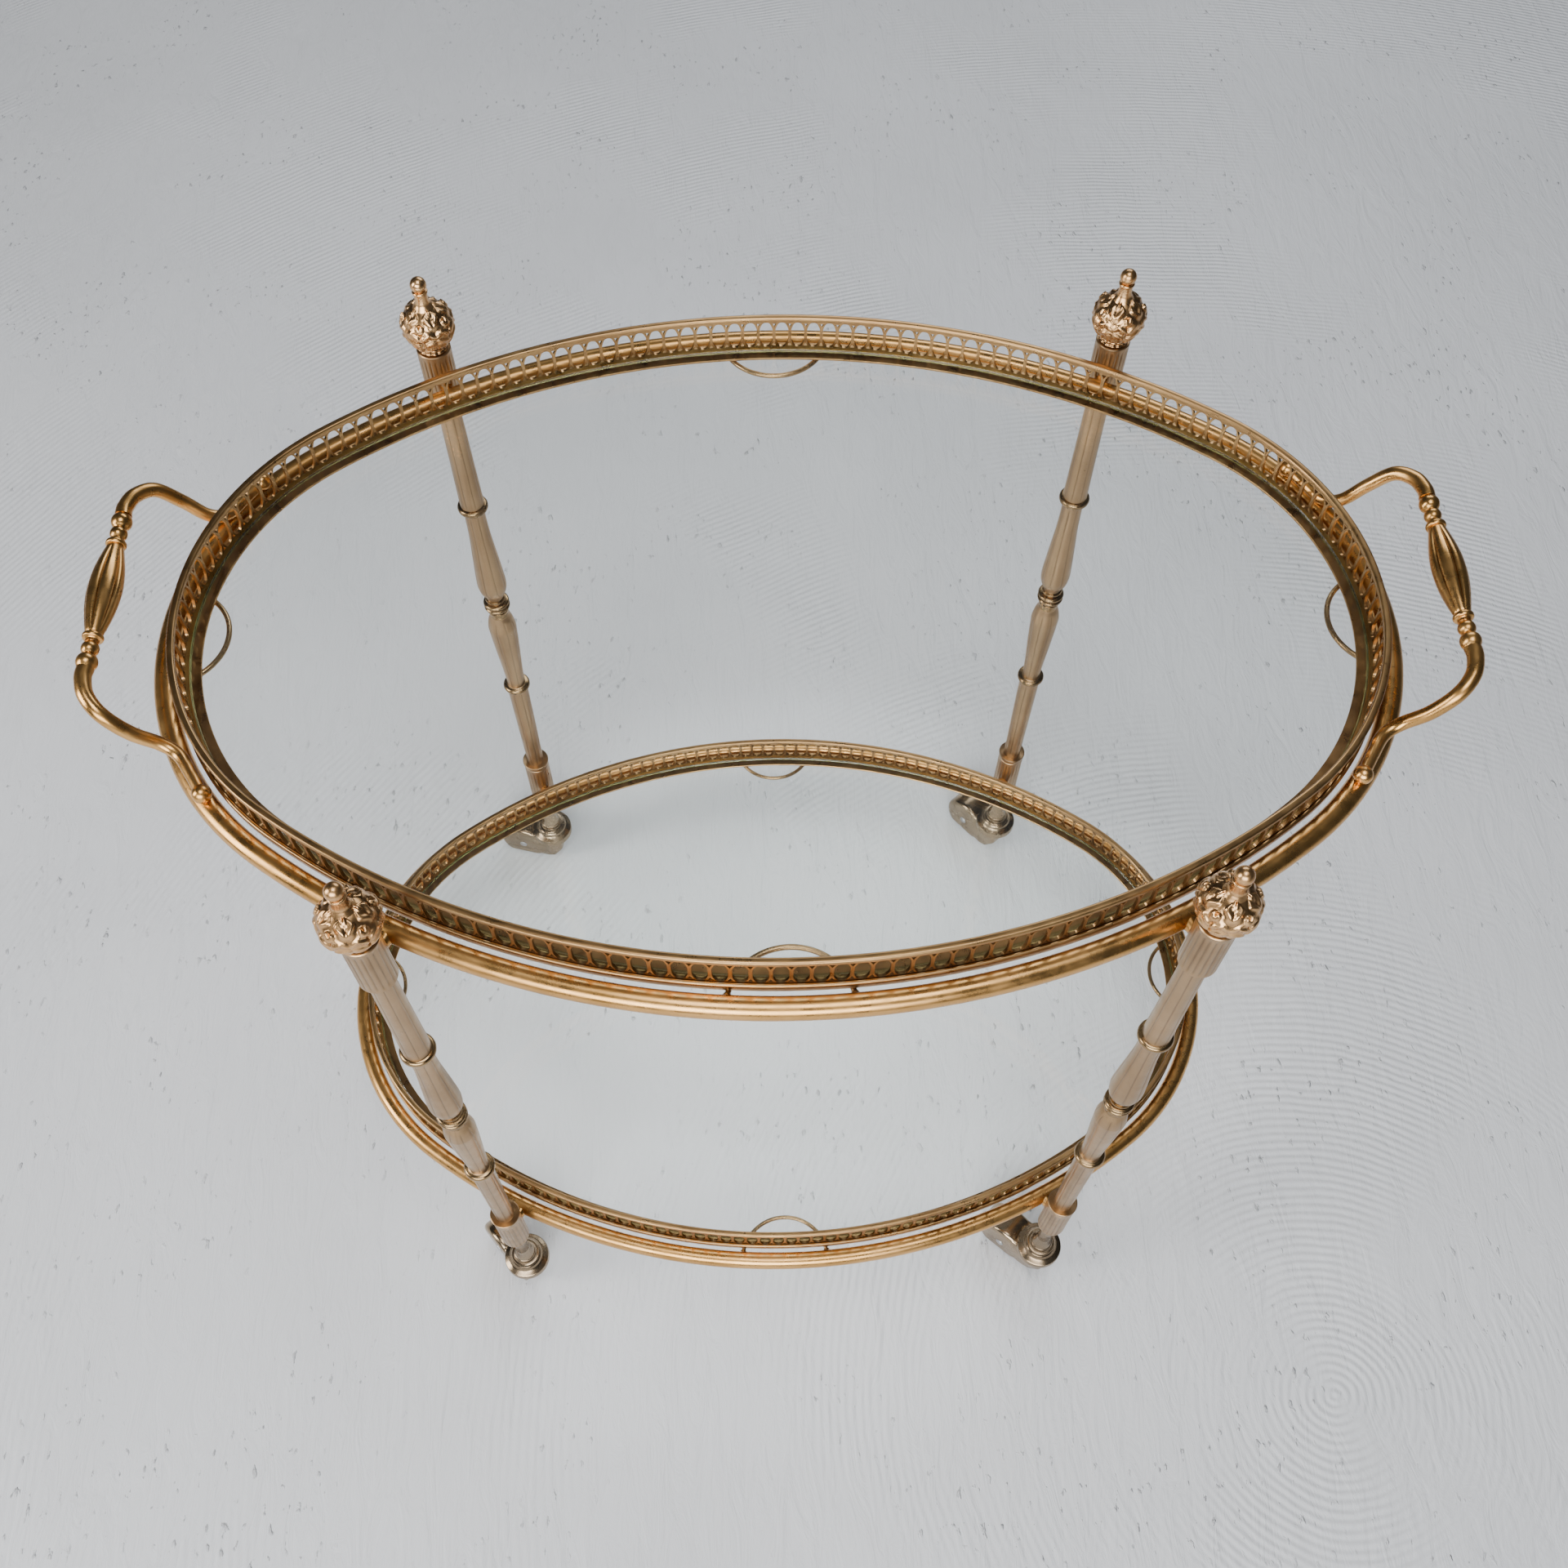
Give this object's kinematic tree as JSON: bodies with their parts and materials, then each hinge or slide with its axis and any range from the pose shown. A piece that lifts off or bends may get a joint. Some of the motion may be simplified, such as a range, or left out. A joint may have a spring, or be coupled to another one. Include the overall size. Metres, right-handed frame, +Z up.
{
  "type": "serving trolley",
  "caption": "Oval brass drinks trolley with removable glass trays in pierced galleries, turned posts, push handles and hooded swivel casters.",
  "frame": {"origin": "on the floor under the middle of the trolley", "axes": "+X along the length towards the right-hand handle, +Y to the back, +Z up"},
  "size_m": [0.7084, 0.457, 0.6666],
  "materials": {
    "frame_brass": "satin with a warm patina",
    "post_brass": "pale, matte brushed",
    "finial_brass": "polished",
    "caster_bronze": "dull, worn",
    "clear_glass": "clear with green edges",
    "steel": "plain",
    "tread": "matt"
  },
  "bodies": {
    "frame": {"frame_tube_upper": "frame_brass", "frame_tube_lower": "frame_brass", "hoops_upper": "frame_brass", "hoops_lower": "frame_brass", "lugs_upper": "frame_brass", "lugs_lower": "frame_brass", "finial_front_left": "finial_brass", "finial_front_right": "finial_brass", "finial_back_left": "finial_brass", "finial_back_right": "finial_brass", "top_collar_front_left": "post_brass", "top_collar_front_right": "post_brass", "top_collar_back_left": "post_brass", "top_collar_back_right": "post_brass", "shaft_front_left": "post_brass", "shaft_front_right": "post_brass", "shaft_back_left": "post_brass", "shaft_back_right": "post_brass", "foot_collar_front_left": "post_brass", "foot_collar_front_right": "post_brass", "foot_collar_back_left": "post_brass", "foot_collar_back_right": "post_brass", "tie_rod_front_left": "steel", "tie_rod_front_right": "steel", "tie_rod_back_left": "steel", "tie_rod_back_right": "steel", "caster_stem_front_left": "caster_bronze", "caster_stem_front_right": "caster_bronze", "caster_stem_back_left": "caster_bronze", "caster_stem_back_right": "caster_bronze", "handle_arms_left": "frame_brass", "handle_knobs_left": "frame_brass", "handle_beads_left": "frame_brass", "handle_grip_left": "frame_brass", "handle_arms_right": "frame_brass", "handle_knobs_right": "frame_brass", "handle_beads_right": "frame_brass", "handle_grip_right": "frame_brass"},
    "upper_tray": {"gallery_lip_upper": "frame_brass", "gallery_strip_upper": "frame_brass", "tray_ledge_upper": "frame_brass"},
    "upper_glass": {"glass_upper": "clear_glass"},
    "lower_tray": {"gallery_lip_lower": "frame_brass", "gallery_strip_lower": "frame_brass", "tray_ledge_lower": "frame_brass"},
    "lower_glass": {"glass_lower": "clear_glass"},
    "swivel_front_left": {"caster_hood_front_left": "caster_bronze", "caster_axle_front_left": "steel"},
    "wheel_front_left": {"caster_wheel_front_left": "tread"},
    "swivel_front_right": {"caster_hood_front_right": "caster_bronze", "caster_axle_front_right": "steel"},
    "wheel_front_right": {"caster_wheel_front_right": "tread"},
    "swivel_back_left": {"caster_hood_back_left": "caster_bronze", "caster_axle_back_left": "steel"},
    "wheel_back_left": {"caster_wheel_back_left": "tread"},
    "swivel_back_right": {"caster_hood_back_right": "caster_bronze", "caster_axle_back_right": "steel"},
    "wheel_back_right": {"caster_wheel_back_right": "tread"}
  },
  "joints": [
    {"name": "upper_tray_lift", "type": "slide", "parent": "frame", "child": "upper_tray", "axis": [0, 0, 1], "range_m": [0, 0.06]},
    {"name": "upper_glass_lift", "type": "slide", "parent": "upper_tray", "child": "upper_glass", "axis": [0, 0, 1], "range_m": [0, 0.04]},
    {"name": "lower_tray_lift", "type": "slide", "parent": "frame", "child": "lower_tray", "axis": [0, 0, 1], "range_m": [0, 0.06]},
    {"name": "lower_glass_lift", "type": "slide", "parent": "lower_tray", "child": "lower_glass", "axis": [0, 0, 1], "range_m": [0, 0.04]},
    {"name": "swivel_front_left", "type": "hinge", "parent": "frame", "child": "swivel_front_left", "pos_m": [-0.199, -0.18928, 0.04], "axis": [0, 0, 1], "continuous": true},
    {"name": "wheel_spin_front_left", "type": "hinge", "parent": "swivel_front_left", "child": "wheel_front_left", "pos_m": [-0.21571, -0.16936, 0.018], "axis": [-0.766, -0.6428, 0], "continuous": true},
    {"name": "swivel_front_right", "type": "hinge", "parent": "frame", "child": "swivel_front_right", "pos_m": [0.199, -0.18928, 0.04], "axis": [0, 0, 1], "continuous": true},
    {"name": "wheel_spin_front_right", "type": "hinge", "parent": "swivel_front_right", "child": "wheel_front_right", "pos_m": [0.17938, -0.17222, 0.018], "axis": [-0.6561, -0.7547, 0], "continuous": true},
    {"name": "swivel_back_left", "type": "hinge", "parent": "frame", "child": "swivel_back_left", "pos_m": [-0.199, 0.18928, 0.04], "axis": [0, 0, 1], "continuous": true},
    {"name": "wheel_spin_back_left", "type": "hinge", "parent": "swivel_back_left", "child": "wheel_back_left", "pos_m": [-0.22411, 0.19601, 0.018], "axis": [-0.2588, -0.9659, 0], "continuous": true},
    {"name": "swivel_back_right", "type": "hinge", "parent": "frame", "child": "swivel_back_right", "pos_m": [0.199, 0.18928, 0.04], "axis": [0, 0, 1], "continuous": true},
    {"name": "wheel_spin_back_right", "type": "hinge", "parent": "swivel_back_right", "child": "wheel_back_right", "pos_m": [0.18229, 0.2092, 0.018], "axis": [-0.766, -0.6428, 0], "continuous": true}
  ]
}
